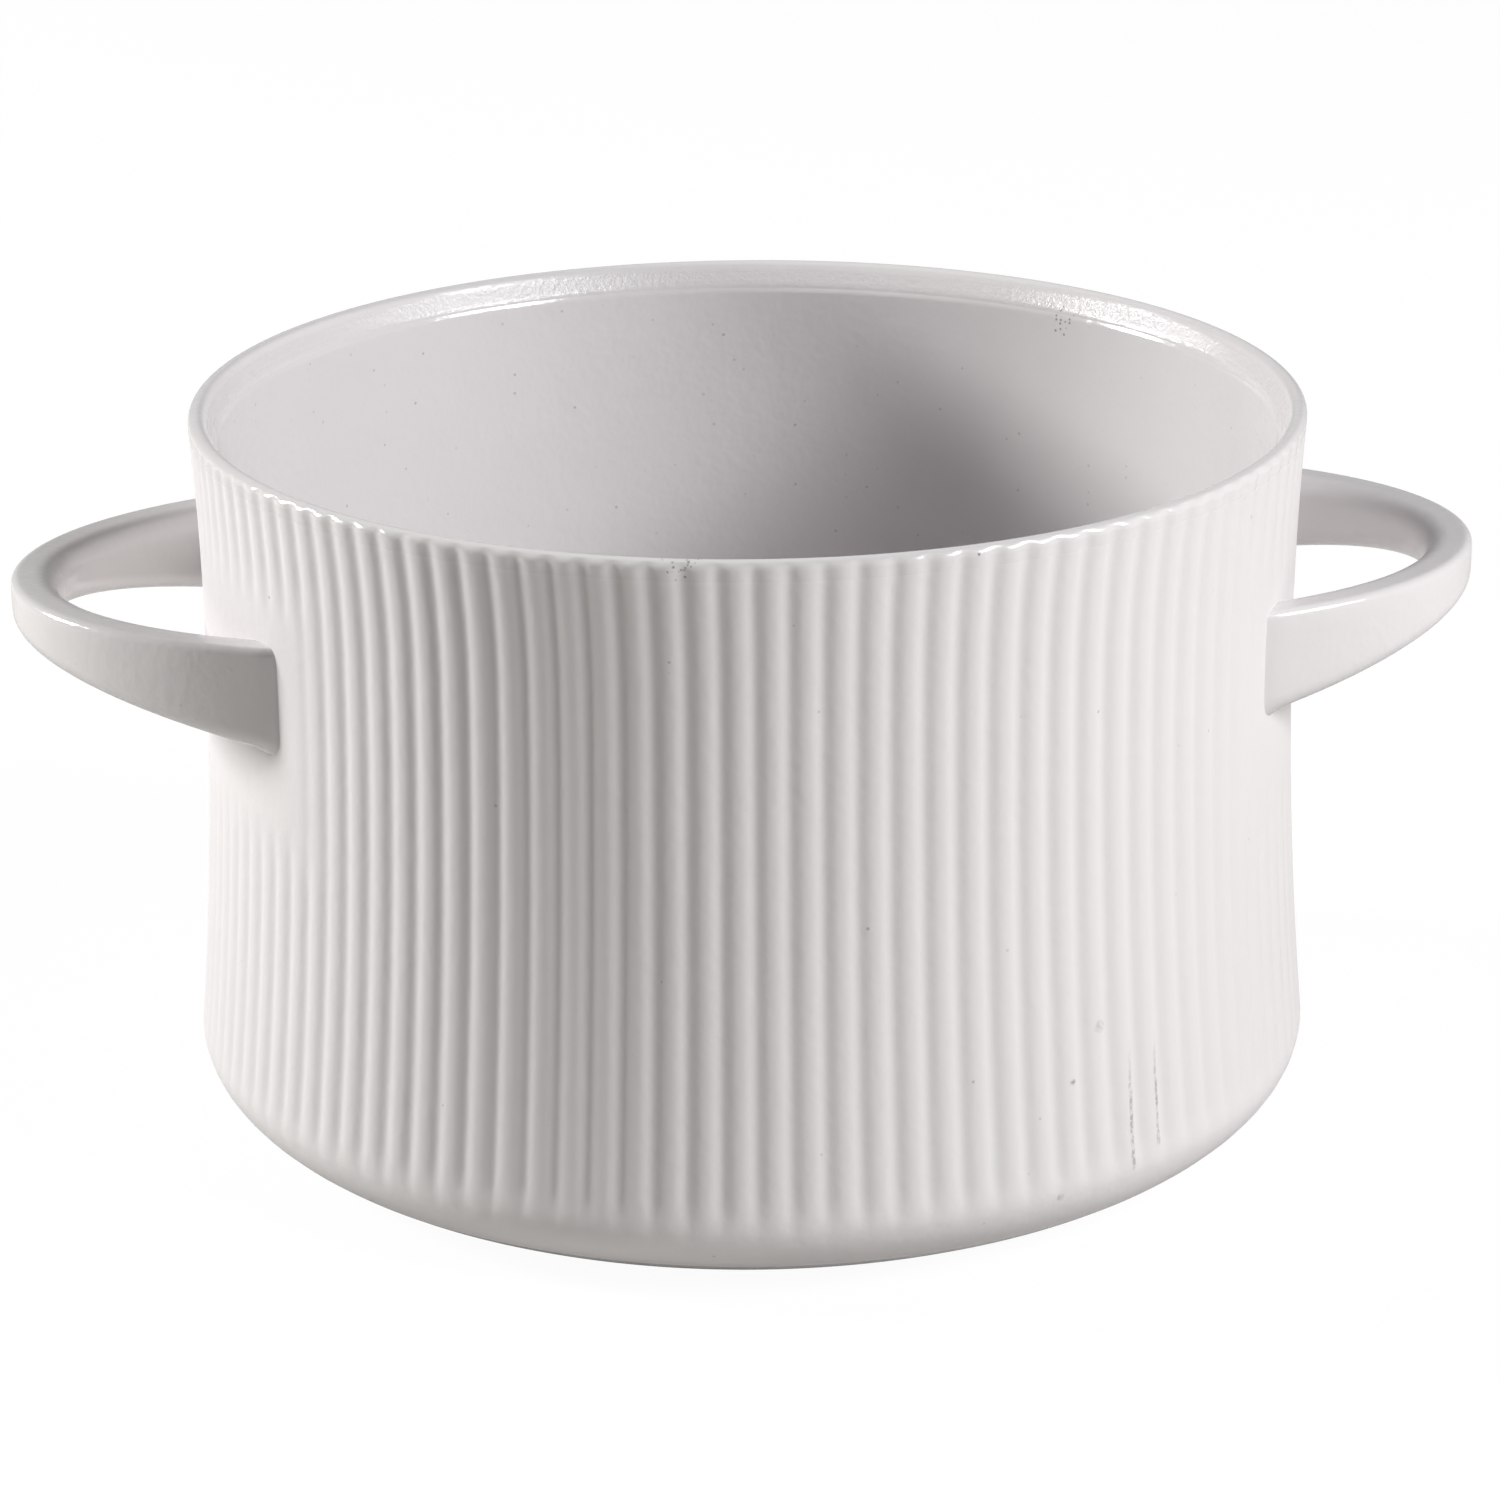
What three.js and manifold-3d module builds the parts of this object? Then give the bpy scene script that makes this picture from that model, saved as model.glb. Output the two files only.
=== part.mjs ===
// Mini casserole dish: a ribbed porcelain bowl with two loop handles stuck on with slip.
// Millimetres, +Z up. The origin is the centre of the face that the foot ring stands on, the handles lie
// along X, and angles round the bowl are measured from the front (-Y) towards the right handle (+X).
import * as THREE from 'three';
import { mergeVertices } from 'three/addons/utils/BufferGeometryUtils.js';
import Module from 'manifold-3d';

// Outside of the bowl: it flares from a slight waist to the rim, and to a belly above the rounded base
const height = 78.7;
const rimRadius = 60;
const lipRounding = 1;
const waistRadius = 59.2;
const waistHeight = 55;
const bellyRadius = 61.5;
const bellyHeight = 7.4;
const baseCornerPower = 1.53;
const footRadius = 50.7;

// Inside of the bowl: a slanted band under the lip ends in a crease at the top of an even wall
const wallThickness = 3;
const floorThickness = 4;
const floorFillet = 8;
const lipBandHeight = 2.6;
const lipBandLean = 0.95;

// Underside: a narrow ring to stand on, round a shallow recess with sloping sides
const footRingWidth = 3.5;
const footRecess = 1.2;

// Ribs: rounded reeds with narrow valleys between them, from the base corner to the lip
const ribCount = 110;
const ribHeight = 0.45;
const ribRunOut = 1;

// Handles: straps bent to an ellipse in plan, level on top, and deepest where they meet the wall
const handleTop = 61.45;
const handleReach = 20.45;
const handleHalfWidth = 31.8;
const handleCentreInset = 24.2;
const strapThickness = 5.2;
const strapEdgeRadius = 1.6;
const strapHeightAtFoot = 11.8;
const strapHeightAtTip = 5.2;

// Slip under each handle foot, squeezed out into a small fillet, and the seam left on both its faces
const slipThickness = 1.2;
const slipFillet = 1;
const seamGap = 0.3;

// Smooth panel round each handle, level with the crests, where the valleys run out
const panelAbove = 5;
const panelBelow = 6.8;
const panelBeside = 6;

// Fineness of the curved faces
const stepsPerRib = 3;
const turnSteps = 72;
const seatSteps = 96;
const baseCornerSteps = 3;
const lipSteps = 2;
const floorFilletSteps = 3;
const wallSteps = 3;
const strapSteps = 28;
const strapEdgeSteps = 2;

// Cutting bodies reach this far past the faces that they cut
const cutOverrun = 2;

const porcelain = { color: 0xf3f2ef, metalness: 0 };
const glossyGlaze = 0.15;
const satinGlaze = 0.35;

const wasm = await Module();
wasm.setup();

const rimEdgeHeight = height - lipRounding;
const floorHeight = footRecess + floorThickness;
const creaseHeight = height - lipBandHeight;
const ribPitch = (2 * Math.PI) / ribCount;
const handleWallRadius = wallRadius(handleTop);
const handleTip = handleWallRadius + handleReach;
const handleCentre = handleWallRadius - handleCentreInset;
const footAngle = strapAngleAt(handleWallRadius, 0);
const footX = strapPoint(footAngle, 0).x;
const panelTop = handleTop + panelAbove;
const panelBottom = handleTop - strapHeightAtFoot - panelBelow;
const panelHalfAngle = strapPoint(footAngle, 0).angle() + panelBeside / handleWallRadius;

// Radius of the outer wall over the crests: a parabola each way from the waist
function wallRadius(z) {
  const below = z < waistHeight;
  const endRadius = below ? bellyRadius : rimRadius;
  const endHeight = below ? bellyHeight : rimEdgeHeight;
  const share = (z - waistHeight) / (endHeight - waistHeight);
  return waistRadius + (endRadius - waistRadius) * share * share;
}

function insideRadius(z) {
  return wallRadius(z) - wallThickness;
}

// Even angles through a quarter turn, both ends included
function quarterTurn(steps) {
  return Array.from({ length: steps + 1 }, (_, i) => (i / steps) * (Math.PI / 2));
}

function evenSteps(from, to, steps) {
  return Array.from({ length: steps + 1 }, (_, i) => from + ((to - from) * i) / steps);
}

// A revolve about Z of an outline of (radius, height) points that runs upwards from axis to axis
function revolve(outline, steps, startAngle = 0) {
  const points = outline.map(([radius, z]) => new THREE.Vector2(radius, z));
  return new THREE.LatheGeometry(points, steps, startAngle).rotateX(Math.PI / 2);
}

function toSolid(geometry) {
  geometry.deleteAttribute('normal');
  geometry.deleteAttribute('uv');
  const merged = mergeVertices(geometry);
  const vertProperties = merged.attributes.position.array;
  const triVerts = new Uint32Array(merged.index.array);
  return new wasm.Manifold(new wasm.Mesh({ numProp: 3, vertProperties, triVerts }));
}

function toMesh(name, solid, roughness) {
  const cut = solid.getMesh();
  const geometry = new THREE.BufferGeometry();
  geometry.setAttribute('position', new THREE.BufferAttribute(cut.vertProperties, 3));
  geometry.setIndex(new THREE.BufferAttribute(cut.triVerts, 1));
  geometry.computeVertexNormals();
  const mesh = new THREE.Mesh(geometry, new THREE.MeshStandardMaterial({ ...porcelain, roughness }));
  mesh.name = name;
  return mesh;
}

// Depth of the surface below the crests, at an angle round the bowl and a height
function valleyDepthAt(angle, z) {
  const turn = angle / ribPitch + 0.5;
  const across = 2 * (turn - Math.floor(turn)) - 1;
  const ends = THREE.MathUtils.clamp(Math.min(rimEdgeHeight - z, z - bellyHeight) / ribRunOut, 0, 1);
  const fromHandle = Math.abs(Math.abs(angle) - Math.PI / 2);
  const pastPanel = Math.max(z - panelTop, panelBottom - z) / ribRunOut;
  const panel = fromHandle < panelHalfAngle ? THREE.MathUtils.clamp(pastPanel, 0, 1) : 1;
  return ribHeight * across * across * ends * panel;
}

function cutValleys(geometry) {
  const position = geometry.attributes.position;
  for (let i = 0; i < position.count; i += 1) {
    const x = position.getX(i);
    const y = position.getY(i);
    const radius = Math.hypot(x, y);
    if (radius > 0) {
      const kept = 1 - valleyDepthAt(Math.atan2(x, -y), position.getZ(i)) / radius;
      position.setXY(i, x * kept, y * kept);
    }
  }
  return geometry;
}

// Heights of the rings of points on the outer wall: where the ribs run out, and at its bends
function wallLevels() {
  const ribFoot = bellyHeight + ribRunOut;
  const panelFoot = panelBottom - ribRunOut;
  const below = [ribFoot, (ribFoot + panelFoot) / 2, panelFoot];
  const above = [panelTop + ribRunOut, rimEdgeHeight - ribRunOut];
  return [...below, panelBottom, waistHeight, panelTop, ...above].sort((a, b) => a - b);
}

function bowlOutside() {
  const corner = quarterTurn(baseCornerSteps).map((a) => [
    footRadius + (bellyRadius - footRadius) * Math.sin(a) ** (2 / baseCornerPower),
    bellyHeight * (1 - Math.cos(a) ** (2 / baseCornerPower)),
  ]);
  const wall = wallLevels().map((z) => [wallRadius(z), z]);
  const lip = quarterTurn(lipSteps).map((a) => [
    rimRadius - lipRounding * (1 - Math.cos(a)),
    rimEdgeHeight + lipRounding * Math.sin(a),
  ]);
  const outline = [[0, 0], ...corner, ...wall, ...lip, [0, height]];
  return toSolid(cutValleys(revolve(outline, ribCount * stepsPerRib, -ribPitch / 2)));
}

function bowlCavity() {
  const filletTop = floorHeight + floorFillet;
  const fillet = quarterTurn(floorFilletSteps).map((a) => [
    insideRadius(filletTop) - floorFillet * (1 - Math.sin(a)),
    filletTop - floorFillet * Math.cos(a),
  ]);
  const wall = evenSteps(filletTop, creaseHeight, wallSteps).slice(1).map((z) => [insideRadius(z), z]);
  const bandSlope = lipBandLean / lipBandHeight;
  const mouth = insideRadius(creaseHeight) + lipBandLean + cutOverrun * bandSlope;
  const outline = [[0, floorHeight], ...fillet, ...wall];
  return toSolid(revolve([...outline, [mouth, height + cutOverrun], [0, height + cutOverrun]], turnSteps));
}

function footRecessCut() {
  const ringInside = footRadius - footRingWidth;
  const outline = [[0, -cutOverrun], [ringInside + cutOverrun, -cutOverrun]];
  return toSolid(revolve([...outline, [ringInside - footRecess, footRecess], [0, footRecess]], turnSteps));
}

function makeBowl() {
  const body = bowlOutside().subtract(bowlCavity()).subtract(footRecessCut());
  return toMesh('bowl', body, satinGlaze);
}

// A point in plan on the handle's ellipse, a distance inside its outer face; angle 0 is the tip
function strapPoint(angle, inside) {
  const reach = handleTip - handleCentre - inside;
  const halfWidth = handleHalfWidth - inside;
  return new THREE.Vector2(handleCentre + reach * Math.cos(angle), halfWidth * Math.sin(angle));
}

// The angle on that ellipse where it passes a radius round the bowl's axis, found by halving
function strapAngleAt(radius, inside) {
  let outer = 0;
  let inner = Math.PI / 2;
  for (let i = 0; i < 40; i += 1) {
    const middle = (outer + inner) / 2;
    if (strapPoint(middle, inside).length() > radius) {
      outer = middle;
    } else {
      inner = middle;
    }
  }
  return inner;
}

// Width that the slip fillet adds all round the strap, at a distance from the wall
function flareAt(distance) {
  const left = THREE.MathUtils.clamp(slipFillet - distance, 0, slipFillet);
  return slipFillet - Math.sqrt(slipFillet * slipFillet - left * left);
}

// One upright section of the strap: a rectangle with round edges, across the line of the ellipse
function strapSection(angle) {
  const middle = strapPoint(angle, strapThickness / 2);
  const outwards = strapPoint(angle, 0).sub(strapPoint(angle, strapThickness)).normalize();
  const flare = flareAt(middle.length() - handleWallRadius);
  const toTip = (middle.x - footX) / (handleTip - footX);
  const strapHeight = THREE.MathUtils.lerp(strapHeightAtFoot, strapHeightAtTip, toTip);
  const edge = Math.min(strapEdgeRadius, strapThickness / 2, strapHeightAtTip / 2);
  const halfThickness = strapThickness / 2 + flare - edge;
  const low = handleTop - strapHeight - flare + edge;
  const high = handleTop + flare - edge;
  const corners = [[1, low, -1], [1, high, 0], [-1, high, 1], [-1, low, 2]];
  return corners.flatMap(([side, z, quarter]) =>
    quarterTurn(strapEdgeSteps).map((a) => {
      const turned = a + (quarter * Math.PI) / 2;
      const across = side * halfThickness + edge * Math.cos(turned);
      const plan = middle.clone().addScaledVector(outwards, across);
      return new THREE.Vector3(plan.x, plan.y, z + edge * Math.sin(turned));
    }),
  );
}

// A loft through closed sections with equal numbers of points, capped at both ends
function loft(sections) {
  const size = sections[0].length;
  const points = sections.flat();
  const faces = [];
  for (let s = 0; s + 1 < sections.length; s += 1) {
    for (let i = 0; i < size; i += 1) {
      const a = s * size + i;
      const b = s * size + ((i + 1) % size);
      faces.push(a, a + size, b, b, a + size, b + size);
    }
  }
  const lastSection = points.length - size;
  for (let i = 1; i + 1 < size; i += 1) {
    faces.push(0, i, i + 1);
    faces.push(lastSection, lastSection + i + 1, lastSection + i);
  }
  const geometry = new THREE.BufferGeometry().setFromPoints(points);
  return geometry.setIndex(faces);
}

// The strap and the slip under its feet in one body, which ends inside the bowl's wall
function handleBody() {
  const end = strapAngleAt(handleWallRadius - wallThickness, strapThickness / 2);
  return toSolid(loft(evenSteps(-end, end, strapSteps).map(strapSection)));
}

// Everything inside the wall's outer face moved out by an offset, over the height of a panel
function wallSeat(offset) {
  const levels = wallLevels().filter((z) => z >= panelBottom && z <= panelTop);
  const face = levels.map((z) => [wallRadius(z) + offset, z]);
  return toSolid(revolve([[0, panelBottom], ...face, [0, panelTop]], seatSteps));
}

// The half of space in front of the XZ plane, or behind it, as a box that holds a handle foot
function halfBox(side) {
  const size = 2 * (handleTip + handleHalfWidth);
  return toSolid(new THREE.BoxGeometry(size, size, 2 * height).translate(0, (side * size) / 2, 0));
}

// One handle with its two slip joints, on the +X side
function makeHandle(name) {
  const group = new THREE.Group();
  const body = handleBody();
  const slipFace = seamGap + slipThickness;
  group.add(toMesh(`handle_${name}`, body.subtract(wallSeat(slipFace + seamGap)), glossyGlaze));
  const slip = body.intersect(wallSeat(slipFace)).subtract(wallSeat(seamGap));
  const sides = name === 'right' ? { front: -1, back: 1 } : { front: 1, back: -1 };
  Object.entries(sides).forEach(([end, side]) => {
    group.add(toMesh(`slip_joint_${name}_${end}`, slip.intersect(halfBox(side)), glossyGlaze));
  });
  return group;
}

const dish = new THREE.Group();
const rightHandle = makeHandle('right');
const leftHandle = makeHandle('left');
leftHandle.rotation.z = Math.PI;
dish.add(makeBowl(), rightHandle, leftHandle);

export default dish;
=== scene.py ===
"""Mini casserole dish: ribbed white porcelain with two loop handles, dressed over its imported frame."""

import math

import bmesh
import bpy
from mathutils import Matrix, Vector


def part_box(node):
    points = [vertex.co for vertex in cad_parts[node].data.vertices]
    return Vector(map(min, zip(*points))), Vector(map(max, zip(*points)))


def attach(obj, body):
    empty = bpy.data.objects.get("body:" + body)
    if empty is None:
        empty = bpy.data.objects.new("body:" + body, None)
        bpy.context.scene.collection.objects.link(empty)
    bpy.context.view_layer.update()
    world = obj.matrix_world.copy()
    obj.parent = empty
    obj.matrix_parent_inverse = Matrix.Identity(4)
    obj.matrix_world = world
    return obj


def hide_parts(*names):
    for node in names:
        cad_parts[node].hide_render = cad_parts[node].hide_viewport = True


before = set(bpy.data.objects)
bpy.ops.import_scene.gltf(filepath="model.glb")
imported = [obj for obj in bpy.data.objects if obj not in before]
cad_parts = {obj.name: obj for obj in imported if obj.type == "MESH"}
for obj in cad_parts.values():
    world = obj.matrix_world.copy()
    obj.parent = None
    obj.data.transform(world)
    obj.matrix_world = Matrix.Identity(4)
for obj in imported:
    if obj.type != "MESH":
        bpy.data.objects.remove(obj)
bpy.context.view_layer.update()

MM = 0.001

# Bowl sizes in millimetres
FOOT_LEVEL = 0.0
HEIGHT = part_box("bowl")[1].z / MM
RIM_RADIUS = 60.0
LIP_ROUNDING = 0.95
WAIST_RADIUS = 59.2
WAIST_HEIGHT = 55.0
BELLY_RADIUS = 61.49
BELLY_HEIGHT = 9.0
BASE_CORNER_POWER = 1.5
FOOT_RADIUS = 50.7
WALL_THICKNESS = 3.0
FLOOR_HEIGHT = 5.2
FLOOR_FILLET = 8.0
LIP_BAND_TILT = 30.0
CREASE_ROUNDING = 0.45
FOOT_RING_WIDTH = 3.5
FOOT_RING_CHAMFER_WIDTH = 0.6
FOOT_RING_CHAMFER_HEIGHT = 0.18
FOOT_RECESS = 1.2
RIM_EDGE_HEIGHT = HEIGHT - LIP_ROUNDING
LIP_CENTRE = (RIM_RADIUS - LIP_ROUNDING, RIM_EDGE_HEIGHT)

# Ribs: rounded reeds with narrower valleys between them, shallower at the sides of the bowl
RIB_COUNT = 110
RIB_STEPS = 10
RIB_HEIGHT = 0.28
RIB_FULLNESS = 1.3
RIB_BELOW_LIP = 0.2
RIB_TOP = HEIGHT - RIB_BELOW_LIP
RIB_TOP_RUN_OUT = 1.4
RIB_FOOT = 6.6
RIB_FOOT_RUN_OUT = 5.6
RIB_SIDE_POWER = 6
RIB_SIDE_LOSS = 0.6
RIB_SIDE_REGAIN = 0.8
RIB_SIDE_DROP = 1.0
RIB_SIDE_DROP_POWER = 3
RIB_PITCH = 2 * math.pi / RIB_COUNT
RIB_DRIFT = 0.066
RIB_LEAN = 0.00054
RIB_LEAN_HEIGHT = 45.0
RIB_FLARE = 0.014
RIB_FLARE_FROM = 64.0

# Mesh: the bowl is turned in sectors, and vertices closer than the weld in millimetres are merged
SECTORS = 10
WELD = 0.001

# Handles: straps bent to an ellipse in plan, level on top, deepest at their feet
HANDLE_TOP = 61.45
HANDLE_REACH = 20.44
HANDLE_HALF_WIDTH = 31.8
HANDLE_CENTRE_INSET = 24.2
STRAP_THICKNESS = 5.2
STRAP_OUTER_EDGE = 0.9
STRAP_INNER_EDGE = 2.5
STRAP_LOW_EDGE = 2.4
STRAP_HEIGHT_AT_FOOT = 11.8
STRAP_HEIGHT_AT_TIP = 5.2
STRAP_STEPS = 160
ROOT_ROUNDING = 1.8
ROOT_TUCK_BESIDE = 0.45
ROOT_FLARE_BELOW = 0.55
FOOT_BURIED = 1.6

# Plain round sweep that each handle is bent from
SWEEP_RADIUS = 10 * STRAP_THICKNESS
SWEEP_HALF_ANGLE = math.radians(80)

# Smooth panel round each handle, level with the crests
PANEL_ABOVE = 2.2
PANEL_BELOW = 6.8
PANEL_BESIDE = 1.2
PANEL_RUN_OUT = 6.0
PANEL_SIDE_RUN_OUT = 9.0
PANEL_RUN_OUT_SHARES = (0.0, 0.1, 0.3, 0.6, 1.0)
PANEL_TOP = HANDLE_TOP + PANEL_ABOVE
PANEL_BOTTOM = HANDLE_TOP - STRAP_HEIGHT_AT_FOOT - PANEL_BELOW


def wall_radius(z):
    """Radius over the crests of the outer wall: a parabola each way from the waist."""
    if z < WAIST_HEIGHT:
        end_radius, end_height = BELLY_RADIUS, BELLY_HEIGHT
    else:
        end_radius, end_height = RIM_RADIUS, RIM_EDGE_HEIGHT
    share = (z - WAIST_HEIGHT) / (end_height - WAIST_HEIGHT)
    return WAIST_RADIUS + (end_radius - WAIST_RADIUS) * share * share


def clamp(value, low=0.0, high=1.0):
    return max(low, min(high, value))


def spread(start, end, steps):
    """Even steps from start to end, both included."""
    return [start + (end - start) * i / steps for i in range(steps + 1)]


HANDLE_WALL = wall_radius(HANDLE_TOP)
HANDLE_TIP = HANDLE_WALL + HANDLE_REACH
HANDLE_CENTRE = HANDLE_WALL - HANDLE_CENTRE_INSET


def strap_point(angle, inside):
    """A point in plan on the handle's ellipse, a distance inside its outer face; angle 0 is the tip."""
    reach = HANDLE_TIP - HANDLE_CENTRE - inside
    half_width = HANDLE_HALF_WIDTH - inside
    return Vector((HANDLE_CENTRE + reach * math.cos(angle), half_width * math.sin(angle)))


def strap_angle_at(radius, inside):
    """The angle on that ellipse where it passes a radius round the bowl's axis, found by halving."""
    outer, inner = 0.0, math.pi / 2
    for _ in range(40):
        middle = (outer + inner) / 2
        if strap_point(middle, inside).length > radius:
            outer = middle
        else:
            inner = middle
    return inner


STRAP_END = strap_angle_at(HANDLE_WALL - STRAP_THICKNESS, STRAP_THICKNESS / 2)
FOOT_POINT = strap_point(strap_angle_at(HANDLE_WALL, 0), 0)
PANEL_HALF_ANGLE = math.atan2(FOOT_POINT.y, FOOT_POINT.x) + PANEL_BESIDE / HANDLE_WALL


def round_end(distance, run_out):
    """Share of the full depth of a valley at a distance from its end, like the path of a round cutter."""
    left = 1 - clamp(distance / run_out)
    return math.sqrt(1 - left * left)


def soft_end(distance, run_out):
    """Share of the full depth where a valley fades out slowly."""
    share = clamp(distance / run_out)
    return share * share * (3 - 2 * share)


def flare_rise(z):
    """Share of the way up from where the ribs begin to flare to the top of the lip."""
    return clamp((z - RIB_FLARE_FROM) / (HEIGHT - RIB_FLARE_FROM))


def rib_drift(angle, z):
    """How far a rib has wandered round the bowl from even spacing, in radians."""
    uneven = RIB_DRIFT * (1 - math.cos(angle))
    lean = RIB_LEAN * math.sin(angle) * (z - RIB_LEAN_HEIGHT)
    flare = RIB_FLARE * math.sin(2 * angle) * flare_rise(z) ** 2
    return uneven - lean + flare


def valley_depth(angle, z):
    """Depth below the crests at an angle round the bowl from the front, and a height, before the drift."""
    turn = angle / RIB_PITCH + 0.5
    across = abs(2 * (turn - math.floor(turn)) - 1)
    section = (1 - math.cos(math.pi * across**RIB_FULLNESS)) / 2
    place = angle + rib_drift(angle, z)
    sideways = math.sin(place) ** RIB_SIDE_POWER
    release = 1 - RIB_SIDE_LOSS * sideways * (1 - RIB_SIDE_REGAIN * flare_rise(z))
    top = RIB_TOP - RIB_SIDE_DROP * sideways**RIB_SIDE_DROP_POWER
    ends = round_end(top - z, RIB_TOP_RUN_OUT) * soft_end(z - RIB_FOOT, RIB_FOOT_RUN_OUT)
    beside = (abs(abs(place) - math.pi / 2) - PANEL_HALF_ANGLE) * HANDLE_WALL
    above = soft_end(max(z - PANEL_TOP, PANEL_BOTTOM - z), PANEL_RUN_OUT)
    past_panel = max(above, soft_end(beside, PANEL_SIDE_RUN_OUT))
    return RIB_HEIGHT * release * section * past_panel * ends


def arc(centre, radius, start, end, steps):
    """Points of a round stretch of an outline, with its angles in degrees from the radius direction."""
    turns = [math.radians(a) for a in spread(start, end, steps)]
    return [(centre[0] + radius * math.cos(a), centre[1] + radius * math.sin(a)) for a in turns]


def inside_outline():
    """From the middle of the floor up the inner wall to the crease and the top of the lip."""
    fillet_top = FLOOR_HEIGHT + FLOOR_FILLET
    foot_of_wall = wall_radius(fillet_top) - WALL_THICKNESS
    floor = [(0, FLOOR_HEIGHT), (foot_of_wall / 2, FLOOR_HEIGHT)]
    fillet = arc((foot_of_wall - FLOOR_FILLET, fillet_top), FLOOR_FILLET, -90, 0, steps=6)
    lip = arc(LIP_CENTRE, LIP_ROUNDING, 180 - LIP_BAND_TILT, 90, steps=7)
    lean = math.tan(math.radians(LIP_BAND_TILT))
    crease_radius = wall_radius(RIM_EDGE_HEIGHT) - WALL_THICKNESS
    crease = lip[0][1] - (lip[0][0] - crease_radius) / lean
    levels = spread(fillet_top, crease - 4 * CREASE_ROUNDING, 5)[1:]
    levels += [crease - 2 * CREASE_ROUNDING, crease - CREASE_ROUNDING]
    wall = [(wall_radius(z) - WALL_THICKNESS, z) for z in levels]
    band = [
        (crease_radius + lean * CREASE_ROUNDING * (1 + turn) ** 2 / 4, crease + CREASE_ROUNDING * turn)
        for turn in spread(-1, 1, 6)[1:]
    ]
    return floor + fillet + wall + band + lip


def outside_outline():
    """From the lip down the outer wall and round the base corner to the foot ring and its recess."""
    rim_slope = 2 * (RIM_RADIUS - WAIST_RADIUS) / (RIM_EDGE_HEIGHT - WAIST_HEIGHT)
    rim_tilt = math.degrees(math.atan(rim_slope))
    lip = arc(LIP_CENTRE, LIP_ROUNDING, 90, -rim_tilt, steps=11)[1:]
    top_run = spread(lip[-1][1], RIB_TOP - RIB_TOP_RUN_OUT - RIB_SIDE_DROP, 6)[1:]
    above = spread(top_run[-1], PANEL_TOP + PANEL_RUN_OUT, 4)[1:]
    panel_head = [PANEL_TOP + PANEL_RUN_OUT * share for share in PANEL_RUN_OUT_SHARES[-2::-1]]
    panel = spread(PANEL_TOP, PANEL_BOTTOM, 4)[1:]
    panel_foot = [PANEL_BOTTOM - PANEL_RUN_OUT * share for share in PANEL_RUN_OUT_SHARES[1:]]
    below = spread(panel_foot[-1], RIB_FOOT + RIB_FOOT_RUN_OUT, 6)[1:]
    low_run = spread(below[-1], BELLY_HEIGHT, 4)[1:-1]
    levels = top_run + above + panel_head + panel + panel_foot + below + low_run
    wall = [(wall_radius(z), z) for z in levels]
    corner_width = BELLY_RADIUS - FOOT_RADIUS
    corner = [
        (
            FOOT_RADIUS + corner_width * math.cos(a) ** (2 / BASE_CORNER_POWER),
            BELLY_HEIGHT * (1 - math.sin(a)),
        )
        for a in spread(0, math.pi / 2, 14)
    ]
    ring_inside = FOOT_RADIUS - FOOT_RING_WIDTH
    ring = [
        (ring_inside + FOOT_RING_CHAMFER_WIDTH, FOOT_LEVEL),
        (ring_inside, FOOT_LEVEL + FOOT_RING_CHAMFER_HEIGHT),
        (ring_inside - FOOT_RECESS, FOOT_LEVEL + FOOT_RECESS),
    ]
    recess = [(ring_inside / 2, FOOT_LEVEL + FOOT_RECESS), (0, FOOT_LEVEL + FOOT_RECESS)]
    return lip + wall + corner + ring + recess


def finish_piece(name, bm, material, replaced):
    """Turns a bmesh in millimetres into a smooth-shaded piece that rides on the body and hides its nodes."""
    bmesh.ops.remove_doubles(bm, verts=bm.verts, dist=WELD)
    bmesh.ops.recalc_face_normals(bm, faces=bm.faces)
    bmesh.ops.scale(bm, verts=bm.verts, vec=(MM, MM, MM))
    for face in bm.faces:
        face.smooth = True
    mesh = bpy.data.meshes.new(name)
    bm.to_mesh(mesh)
    bm.free()
    mesh.materials.append(material)
    piece = bpy.data.objects.new(name, mesh)
    bpy.context.scene.collection.objects.link(piece)
    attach(piece, "root")
    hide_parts(*replaced)
    return piece


def make_bowl(material):
    """The body: its outline turned round the axis, with the valleys between the ribs pressed in."""
    bm = bmesh.new()
    points = [bm.verts.new((radius, 0, z)) for radius, z in inside_outline() + outside_outline()]
    for ends in zip(points, points[1:]):
        bm.edges.new(ends)
    sector = 2 * math.pi / SECTORS
    steps = RIB_COUNT * RIB_STEPS // SECTORS
    outline = bm.verts[:] + bm.edges[:]
    bmesh.ops.spin(bm, geom=outline, axis=(0, 0, 1), angle=sector, steps=steps, use_merge=False)
    first = bm.verts[:] + bm.edges[:] + bm.faces[:]
    for i in range(1, SECTORS):
        copy = bmesh.ops.duplicate(bm, geom=first)["geom"]
        verts = [item for item in copy if isinstance(item, bmesh.types.BMVert)]
        bmesh.ops.rotate(bm, cent=(0, 0, 0), matrix=Matrix.Rotation(i * sector, 3, "Z"), verts=verts)
    bmesh.ops.remove_doubles(bm, verts=bm.verts, dist=WELD)
    for vert in bm.verts:
        radius, z = vert.co.xy.length, vert.co.z
        angle = math.atan2(vert.co.x, -vert.co.y)
        if RIB_FOOT < z < RIB_TOP and radius > wall_radius(z) - WALL_THICKNESS / 2:
            radius -= valley_depth(angle, z)
        place = angle + rib_drift(angle, z)
        vert.co = (radius * math.sin(place), -radius * math.cos(place), z)
    return finish_piece("ribbed_bowl", bm, material, ["bowl"])


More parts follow.
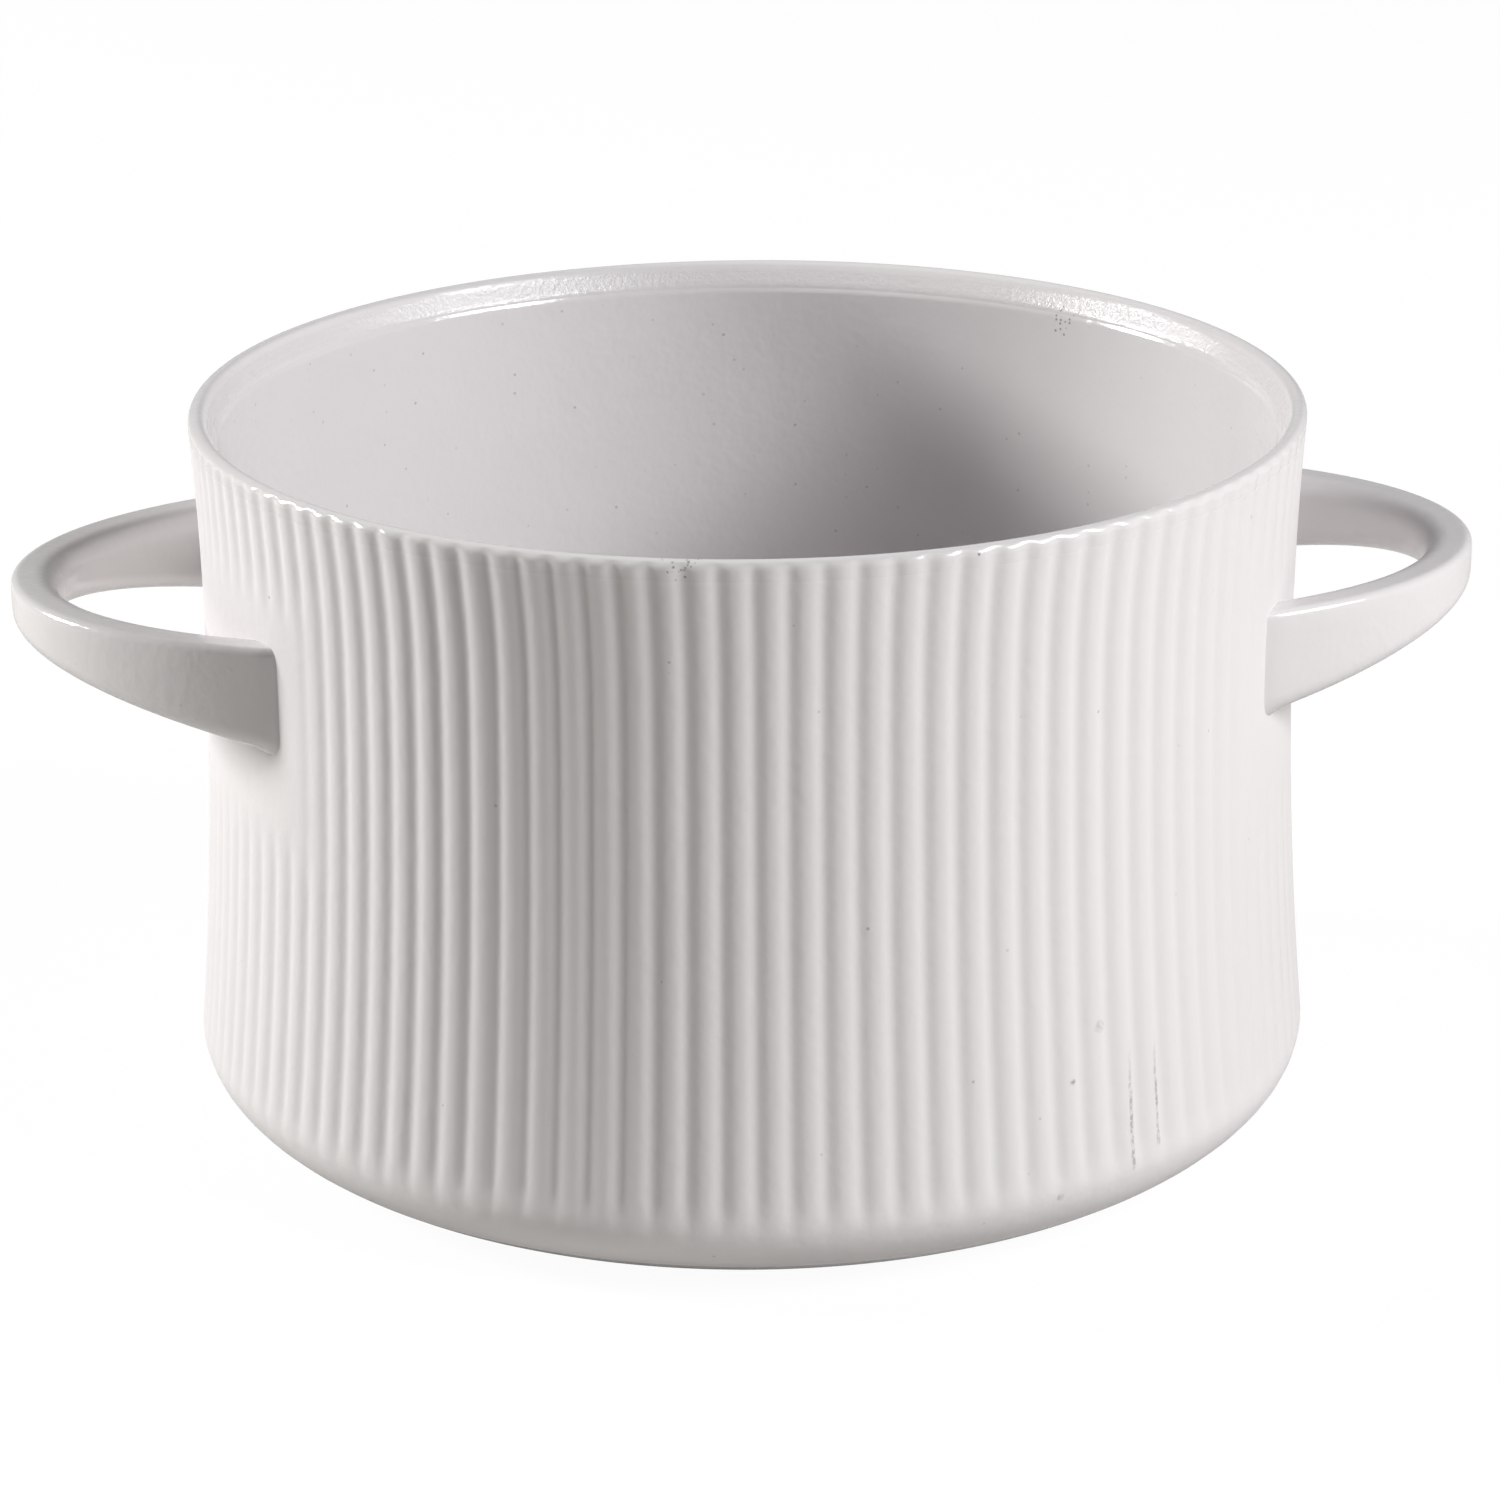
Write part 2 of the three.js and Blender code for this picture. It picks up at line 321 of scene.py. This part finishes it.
def edge_way(across, z):
    """The way, 1 long, from the core of the strap's section out to a point of its surface."""
    top_edge = STRAP_OUTER_EDGE if across > 0 else STRAP_INNER_EDGE
    rounding = top_edge if z > 0 else STRAP_LOW_EDGE
    half_width = STRAP_THICKNESS / 2 - rounding
    half_height = STRAP_HEIGHT_AT_FOOT / 2 - rounding
    core = Vector((clamp(across, -half_width, half_width), clamp(z, -half_height, half_height)))
    return (Vector((across, z)) - core).normalized()


def bend_strap(co):
    """Carries a point of the plain round sweep onto the ellipse, with the taper and the rounded root."""
    share = math.atan2(co.y, co.x) / SWEEP_HALF_ANGLE
    angle = STRAP_END * math.sin(share * math.pi / 2)
    middle = strap_point(angle, STRAP_THICKNESS / 2)
    outwards = (strap_point(angle, 0) - strap_point(angle, STRAP_THICKNESS)).normalized()
    to_tip = (middle.x - FOOT_POINT.x) / (HANDLE_TIP - FOOT_POINT.x)
    down = clamp(0.5 - co.z / (STRAP_HEIGHT_AT_FOOT - 2 * STRAP_INNER_EDGE))
    lift = (STRAP_HEIGHT_AT_FOOT - STRAP_HEIGHT_AT_TIP) * to_tip * down
    across = co.xy.length - SWEEP_RADIUS
    middle_height = HANDLE_TOP - STRAP_HEIGHT_AT_FOOT / 2 + lift
    plan = middle + outwards * across
    height = middle_height + co.z
    to_root = 1 - clamp((plan.length - wall_radius(height)) / ROOT_ROUNDING)
    tuck = edge_way(across, co.z) * to_root * to_root
    beside = Vector((outwards.x, outwards.y, 0)) * tuck.x * ROOT_TUCK_BESIDE
    wall_way = Vector((plan.x, plan.y, 0)).normalized()
    point = Vector((plan.x, plan.y, height))
    point -= beside - wall_way * beside.dot(wall_way)
    point.z += min(tuck.y, 0.0) * ROOT_FLARE_BELOW
    deepest = wall_radius(point.z) - FOOT_BURIED
    if point.xy.length < deepest:
        point.xy *= deepest / point.xy.length
    return point


def make_handle(side, half_turns, material):
    """A loop handle with smoothed feet: a rounded section swept, bent to the ellipse and tapered."""
    bm = bmesh.new()
    upright = Matrix.Rotation(math.pi / 2, 4, "X")
    bmesh.ops.create_grid(bm, x_segments=1, y_segments=1, size=0.5)
    bmesh.ops.scale(bm, verts=bm.verts, vec=(STRAP_THICKNESS, STRAP_HEIGHT_AT_FOOT, 1))
    roundings = (STRAP_LOW_EDGE, STRAP_LOW_EDGE, STRAP_INNER_EDGE, STRAP_OUTER_EDGE)
    for corner, rounding in zip(bm.verts[:], roundings):
        bmesh.ops.bevel(
            bm, geom=[corner], offset=rounding, segments=8, profile=0.5, affect="VERTICES", material=-1
        )
    bmesh.ops.delete(bm, geom=bm.faces[:], context="FACES_ONLY")
    flats = [edge for edge in bm.edges if edge.calc_length() > STRAP_OUTER_EDGE]
    bmesh.ops.subdivide_edges(bm, edges=flats, cuts=4)
    bmesh.ops.transform(bm, matrix=upright, verts=bm.verts)
    bmesh.ops.translate(bm, vec=(SWEEP_RADIUS, 0, 0), verts=bm.verts)
    back = Matrix.Rotation(-SWEEP_HALF_ANGLE, 3, "Z")
    bmesh.ops.rotate(bm, cent=(0, 0, 0), matrix=back, verts=bm.verts)
    section = bm.verts[:] + bm.edges[:]
    sweep = 2 * SWEEP_HALF_ANGLE
    bmesh.ops.spin(bm, geom=section, axis=(0, 0, 1), angle=sweep, steps=STRAP_STEPS, use_merge=False)
    bmesh.ops.holes_fill(bm, edges=[edge for edge in bm.edges if edge.is_boundary])
    for vert in bm.verts:
        vert.co = bend_strap(vert.co)
    half_turn = Matrix.Rotation(math.pi * half_turns, 3, "Z")
    bmesh.ops.rotate(bm, cent=(0, 0, 0), matrix=half_turn, verts=bm.verts)
    replaced = [f"handle_{side}", f"slip_joint_{side}_front", f"slip_joint_{side}_back"]
    return finish_piece(f"loop_handle_{side}", bm, material, replaced)


class Shade:
    """A socket of a node tree. Sums, differences and products with sockets or numbers add Math nodes."""

    def __init__(self, tree, socket=None):
        self.tree = tree
        self.socket = socket

    def node(self, kind, settings=None, output=0, **inputs):
        """Adds a node with its settings, then sets or links its sockets, named with _ for a space."""
        made = self.tree.nodes.new(kind)
        for name, value in (settings or {}).items():
            setattr(made, name, value)
        for name, value in inputs.items():
            key = int(name[1:]) if name[1:].isdigit() else name.replace("_", " ")
            if isinstance(value, Shade):
                self.tree.links.new(value.socket, made.inputs[key])
            else:
                made.inputs[key].default_value = value
        return Shade(self.tree, made.outputs[output] if made.outputs else None)

    def other(self, output):
        """Another output of the same node, by its name."""
        return Shade(self.tree, self.socket.node.outputs[output])

    def math(self, operation, other=0.0, swapped=False):
        """A Math node on this value and another, which comes first if they are swapped."""
        first, second = (other, self) if swapped else (self, other)
        return self.node("ShaderNodeMath", {"operation": operation}, i0=first, i1=second)

    def __add__(self, other):
        return self.math("ADD", other)

    def __radd__(self, other):
        return self.math("ADD", other, swapped=True)

    def __sub__(self, other):
        return self.math("SUBTRACT", other)

    def __rsub__(self, other):
        return self.math("SUBTRACT", other, swapped=True)

    def __mul__(self, other):
        return self.math("MULTIPLY", other)

    def __rmul__(self, other):
        return self.math("MULTIPLY", other, swapped=True)

    def between(self, low, high):
        """A smooth step that is 0 at low and 1 at high."""
        settings = {"interpolation_type": "SMOOTHSTEP"}
        return self.node("ShaderNodeMapRange", settings, Value=self, From_Min=low, From_Max=high)

    def blend(self, first, second):
        """A colour that goes from first to second as this value goes from 0 to 1."""
        settings = {"data_type": "RGBA"}
        return self.node("ShaderNodeMix", settings, output=2, i0=self, i6=first, i7=second)


def new_material(name):
    """A material with an empty node tree, and a Shade to fill it with."""
    material = bpy.data.materials.new(name)
    material.use_nodes = True
    material.node_tree.nodes.clear()
    return material, Shade(material.node_tree)


def put_out(shade, shader):
    """Ends a material's nodes with its output."""
    shade.node("ShaderNodeOutputMaterial", Surface=shader)


# Colours of the glaze, with darker glaze as painted shade in the valleys and over the inside, the bare clay
# and the marks
GLAZE_WHITE = (0.752, 0.726, 0.732, 1)
POOLED_GLAZE_AND_SHADE = (0.732, 0.708, 0.716, 1)
SHADED_INNER_GLAZE = (0.711, 0.686, 0.693, 1)
BARE_CLAY = (0.70, 0.66, 0.61, 1)
SPECK_BROWN = (0.20, 0.175, 0.16, 1)
SCUFF_GREY = (0.36, 0.35, 0.35, 1)
MARK_STRENGTH = 0.75

# Where the glaze pools and shade is painted between the ribs: shares of the valleys' depth, levels of the
# cloud pattern and its strength
POOLED_AND_SHADED_DEPTHS = (0.45, 1.0)
CLOUDED_LEVELS = (0.4, 0.8)
CLOUDED_SHARE = 0.25

# Radii and heights in metres between which the surface changes
OUTSIDE_RADII = (0.0578, 0.0582)
RIBS_END_HEIGHTS = (0.0750, 0.0777)
INNER_BAND_HEIGHTS = (0.0758, 0.0768)
OUTER_LIP_HEIGHTS = (0.0768, 0.0777)
BARE_RING_HEIGHTS = (0.0001, 0.0004)
BARE_RING_RADII = (0.0465, 0.0470)

# Roughness of the plain glaze, and what is added to it elsewhere
GLAZE_ROUGHNESS = 0.11
RIB_ROUGHNESS = 0.38
INNER_BAND_ROUGHNESS = 0.14
OUTER_LIP_ROUGHNESS = 0.05
CLOUD_ROUGHNESS = 0.06
BARE_CLAY_ROUGHNESS = 0.4
SCUFF_ROUGHNESS = -0.1

# Bump of the glaze: its depth in metres, and the weight of each pattern beside the orange peel
BUMP_STRENGTH = 0.2
BUMP_DEPTH = 0.0002
RIPPLE_WEIGHT = 2.0
INNER_BAND_WEIGHT = 5.0

# Specks and crumbs: the pattern's cells, and the levels that set their darkness and soft edges
SPECK_SCALE = 830.0
SPECK_DARKNESS = (0.0, 1.6)
SPECK_EDGE = (0.07, 0.21)
CRUMB_SCALE = 2300.0
CRUMB_DARKNESS = (-0.4, 0.7)
CRUMB_EDGE = (0.25, 0.45)

# Share of the cells with a speck, and spots with a place and a reach in millimetres and a weight
SPECKS_INSIDE = 0.12
SPECKS_OUTSIDE = 0.015
SPECKED_SPOTS = [((-44.0, 34.0, 66.0), 18.0, 0.22)]
CRUMB_SPOTS = [
    ((-11.9, -57.9, 78.6), 2.4, 1.0),
    ((40.8, 39.6, 75.2), 2.2, 0.45),
    ((17.1, -56.9, 78.4), 1.1, 0.5),
]
SCUFF_SPOTS = [
    ((30.5, -51.4, 25.2), 1.0, 0.5),
    ((27.6, -53.6, 20.1), 0.55, 1.0),
    ((26.3, -55.3, 8.0), 0.6, 0.6),
]
SPOT_CORE = 0.4

# Rub marks: each one's turn from the front in degrees, then its low and high end in millimetres
RUB_MARKS = [(34.5, 8.2, 24.0), (38.0, 9.8, 23.5)]
RUB_HALF_WIDTH = 0.38
RUB_CORE = 0.3
RUB_START = 1.0
RUB_FULL = 5.0
RUB_WAVER = 0.012
SCUFF_BASE = 0.25
SCUFF_GRAIN_LEVELS = (0.4, 0.6)


def shade_places(shade):
    """Object coordinates, the height, the radius and the angle from the front, in metres and radians."""
    place = shade.node("ShaderNodeTexCoord", output="Object")
    x = shade.node("ShaderNodeSeparateXYZ", Vector=place)
    y, height = x.other("Y"), x.other("Z")
    flat = shade.node("ShaderNodeVectorMath", {"operation": "MULTIPLY"}, i0=place, i1=(1, 1, 0))
    radius = shade.node("ShaderNodeVectorMath", {"operation": "LENGTH"}, output="Value", i0=flat)
    return place, height, radius, x.math("ARCTAN2", 0 - y)


def valley_share(height, radius):
    """How deep a point of the wall lies between the ribs, from 0 on the crests to 1."""
    low = (WAIST_HEIGHT * MM - height).math("MAXIMUM", 0) * (1 / (WAIST_HEIGHT - BELLY_HEIGHT) / MM)
    high = (height - WAIST_HEIGHT * MM).math("MAXIMUM", 0) * (1 / (RIM_EDGE_HEIGHT - WAIST_HEIGHT) / MM)
    belly_swell = low * low * ((BELLY_RADIUS - WAIST_RADIUS) * MM)
    rim_swell = high * high * ((RIM_RADIUS - WAIST_RADIUS) * MM)
    return (belly_swell + rim_swell + WAIST_RADIUS * MM - radius) * (1 / RIB_HEIGHT / MM)


def near(shade, place, spot, reach):
    """1 at a spot in millimetres, fading to 0 at a reach from it."""
    centre = tuple(value * MM for value in spot)
    settings = {"operation": "DISTANCE"}
    away = shade.node("ShaderNodeVectorMath", settings, output="Value", i0=place, i1=centre)
    return 1 - away.between(SPOT_CORE * reach * MM, reach * MM)


def spotted(shade, place, spots):
    """The sum of some spots, each by its weight."""
    return sum(weight * near(shade, place, spot, reach) for spot, reach, weight in spots)


def rub_mark(height, angle, turn, low, high):
    """An upright rub mark that starts at a low end and fades out towards a high one."""
    aside = (angle - math.radians(turn)).math("ABSOLUTE") * BELLY_RADIUS
    started = height.between(low * MM, (low + RUB_START) * MM)
    faded = height.between((low + RUB_FULL) * MM, high * MM)
    return (1 - aside.between(RUB_CORE * RUB_HALF_WIDTH, RUB_HALF_WIDTH)) * started * (1 - faded)


def scattered(shade, place, scale, crowd, darkness, edge):
    """Dots in a share of a pattern's cells, some darker than others, with soft edges."""
    cells = shade.node("ShaderNodeTexVoronoi", Vector=place, Scale=scale)
    chance = shade.node("ShaderNodeSeparateColor", Color=cells.other("Color"))
    dots = chance.math("LESS_THAN", crowd) * chance.other("Green").between(*darkness)
    return dots * (1 - cells.between(*edge))


def glaze_specks(shade, place, outer):
    """Fine specks in the glaze, fewer on the outside, and crumbs crowded at a few spots."""
    plain = SPECKS_INSIDE + (SPECKS_OUTSIDE - SPECKS_INSIDE) * outer
    specked = plain + spotted(shade, place, SPECKED_SPOTS)
    crowded = spotted(shade, place, CRUMB_SPOTS)
    specks = scattered(shade, place, SPECK_SCALE, specked, SPECK_DARKNESS, SPECK_EDGE)
    return specks + scattered(shade, place, CRUMB_SCALE, crowded, CRUMB_DARKNESS, CRUMB_EDGE)


def glaze_scuffs(shade, place, height, angle, grain):
    """Grey rub marks and spots near the base, broken up by the grain."""
    waver = shade.node("ShaderNodeTexNoise", Vector=place, Scale=260.0, Detail=2.0)
    wavering = angle + (waver - 0.5) * RUB_WAVER
    rubbed = sum(rub_mark(height, wavering, *mark) for mark in RUB_MARKS)
    rubbed = rubbed + spotted(shade, place, SCUFF_SPOTS)
    return rubbed * (SCUFF_BASE + grain.between(*SCUFF_GRAIN_LEVELS))


def porcelain_glaze(name, rib_share):
    """White glaze, glossy but for a softer sheen on the ribs, which a share of 0 leaves out. Its colour
    holds painted shade: darker over the whole inside, and darker in the valleys along with the pooled glaze
    there.
    """
    material, shade = new_material(name)
    place, height, radius, angle = shade_places(shade)
    outer = radius.between(*OUTSIDE_RADII)
    ribbed = rib_share * outer * (1 - height.between(*RIBS_END_HEIGHTS))
    band = (1 - outer) * height.between(*INNER_BAND_HEIGHTS)
    lip = outer * height.between(*OUTER_LIP_HEIGHTS)
    bare = (1 - height.between(*BARE_RING_HEIGHTS)) * radius.between(*BARE_RING_RADII)
    # Darker in the valleys: glaze pooling there, and painted shade between the ribs
    pooled_and_shaded = ribbed * valley_share(height, radius).between(*POOLED_AND_SHADED_DEPTHS)

    cloud = shade.node("ShaderNodeTexNoise", Vector=place, Scale=60.0, Detail=3.0)
    grain = shade.node("ShaderNodeTexNoise", Vector=place, Scale=1500.0, Detail=4.0, Roughness=0.7)
    peel = shade.node("ShaderNodeTexNoise", Vector=place, Scale=800.0, Detail=1.0)
    ripple = shade.node("ShaderNodeTexNoise", Vector=place, Scale=150.0, Detail=1.0)
    speck = glaze_specks(shade, place, outer)
    scuff = outer * glaze_scuffs(shade, place, height, angle, grain)

    # Painted shade between the ribs, together with the pooled glaze in the valleys
    colour = pooled_and_shaded.blend(GLAZE_WHITE, POOLED_GLAZE_AND_SHADE)
    colour = (cloud.between(*CLOUDED_LEVELS) * CLOUDED_SHARE).blend(colour, POOLED_GLAZE_AND_SHADE)
    # Painted shade: the whole inside of the bowl is darker than the outside
    colour = (1 - outer).blend(colour, SHADED_INNER_GLAZE)
    colour = bare.blend(colour, BARE_CLAY)
    colour = (speck * MARK_STRENGTH).blend(colour, SPECK_BROWN)
    colour = (scuff * MARK_STRENGTH).blend(colour, SCUFF_GREY)
    roughness = GLAZE_ROUGHNESS + RIB_ROUGHNESS * ribbed + INNER_BAND_ROUGHNESS * band
    roughness = roughness + OUTER_LIP_ROUGHNESS * lip + CLOUD_ROUGHNESS * cloud
    roughness = roughness + BARE_CLAY_ROUGHNESS * bare + SCUFF_ROUGHNESS * scuff
    relief = peel + RIPPLE_WEIGHT * ripple + INNER_BAND_WEIGHT * band * (grain - 0.5)
    bump = shade.node("ShaderNodeBump", Strength=BUMP_STRENGTH, Distance=BUMP_DEPTH, Height=relief)
    shader = shade.node(
        "ShaderNodeBsdfPrincipled", Base_Color=colour, Roughness=roughness, IOR=1.5, Normal=bump
    )
    put_out(shade, shader)
    return material


# Camera of the photograph: its place in millimetres, its turn in degrees, and its lens
CAMERA_AZIMUTH = -5.35
CAMERA_AWAY = 489.5
CAMERA_HEIGHT = 215.4
CAMERA_DOWN = 19.936
CAMERA_ROLL = -0.447
CAMERA_LENS = 112.88
CAMERA_SENSOR = 36

# Studio: the floor's half size in metres, and how white it and the backdrop look
STAGE_HALF_SIZE = 3.0
STAGE_GREY = (0.63, 0.62, 0.6, 1)
STAGE_GLOW = 1.04
STAGE_GLOW_SHARE = 0.92
STAGE_MIRRORED = 0.12
BACKDROP_MIRRORED = 0.35
PLAIN_WHITE = (1, 1, 1, 1)


def add_camera():
    """The camera that took the photograph, as fitted to the dish's outline."""
    azimuth = math.radians(CAMERA_AZIMUTH)
    away = Vector((math.sin(azimuth), -math.cos(azimuth), 0)) * CAMERA_AWAY
    eye = (away + Vector((0, 0, CAMERA_HEIGHT))) * MM
    turn = Matrix.Rotation(azimuth, 4, "Z")
    tilt = Matrix.Rotation(math.radians(90 - CAMERA_DOWN), 4, "X")
    roll = Matrix.Rotation(math.radians(CAMERA_ROLL), 4, "Z")
    data = bpy.data.cameras.new("photo_camera")
    data.sensor_width = CAMERA_SENSOR
    data.lens = CAMERA_LENS
    camera = bpy.data.objects.new("photo_camera", data)
    camera.matrix_world = Matrix.Translation(eye) @ turn @ tilt @ roll
    bpy.context.scene.collection.objects.link(camera)
    bpy.context.scene.camera = camera


def add_softbox(name, azimuth, elevation, distance, width, height, power, blue):
    """An area lamp that faces the dish, by degrees from the front and up, metres and watts."""
    data = bpy.data.lights.new(name, "AREA")
    data.shape = "RECTANGLE"
    data.size = width
    data.size_y = height
    data.energy = power
    data.color = (1, 1, blue)
    turn, rise = math.radians(azimuth), math.radians(elevation)
    outwards = Vector((math.sin(turn) * math.cos(rise), -math.cos(turn) * math.cos(rise), math.sin(rise)))
    lamp = bpy.data.objects.new(name, data)
    target = Vector((0, 0, HEIGHT * MM / 2))
    facing = outwards.to_track_quat("Z", "Y").to_matrix().to_4x4()
    lamp.matrix_world = Matrix.Translation(target + outwards * distance) @ facing
    bpy.context.scene.collection.objects.link(lamp)


def white_to_the_eye(shade, mirrored_share):
    """1 for rays from the camera, a share for those mirrored or passed on by a surface, and 0 for light."""
    seen = shade.node("ShaderNodeLightPath", output="Is Camera Ray")
    mirrored = seen.other("Is Glossy Ray").math("MAXIMUM", seen.other("Is Transmission Ray"))
    return seen.math("MAXIMUM", mirrored * mirrored_share)


def add_floor():
    """A pale floor under the foot ring that looks white and keeps a faint shadow."""
    bm = bmesh.new()
    bmesh.ops.create_grid(bm, x_segments=1, y_segments=1, size=STAGE_HALF_SIZE)
    mesh = bpy.data.meshes.new("floor")
    bm.to_mesh(mesh)
    bm.free()
    material, shade = new_material("pale_floor")
    glowing = white_to_the_eye(shade, STAGE_MIRRORED) * STAGE_GLOW_SHARE
    matt = shade.node("ShaderNodeBsdfDiffuse", Color=STAGE_GREY)
    glow = shade.node("ShaderNodeEmission", Color=PLAIN_WHITE, Strength=STAGE_GLOW)
    put_out(shade, shade.node("ShaderNodeMixShader", i0=glowing, i1=matt, i2=glow))
    mesh.materials.append(material)
    floor = bpy.data.objects.new("floor", mesh)
    bpy.context.scene.collection.objects.link(floor)


def add_world(strength):
    """An even backdrop that looks white and lights the dish a little, by its strength."""
    world = bpy.data.worlds.new("studio")
    bpy.context.scene.world = world
    world.use_nodes = True
    world.node_tree.nodes.clear()
    shade = Shade(world.node_tree)
    level = white_to_the_eye(shade, BACKDROP_MIRRORED) * (1 - strength) + strength
    light = shade.node("ShaderNodeBackground", Color=PLAIN_WHITE, Strength=level)
    shade.node("ShaderNodeOutputWorld", Surface=light)


add_camera()
handle_glaze = porcelain_glaze("handle_glaze", rib_share=0.0)
make_bowl(porcelain_glaze("bowl_glaze", rib_share=1.0))
make_handle("right", 0, handle_glaze)
make_handle("left", 1, handle_glaze)
add_floor()
add_world(strength=0.028)
add_softbox(
    "left_softbox", azimuth=-107, elevation=22, distance=1.2, width=0.27, height=0.34, power=15.9, blue=0.985
)
add_softbox(
    "right_softbox", azimuth=59, elevation=33, distance=1.2, width=0.5, height=0.45, power=14.4, blue=1.0
)
bpy.context.scene.view_settings.view_transform = "Standard"
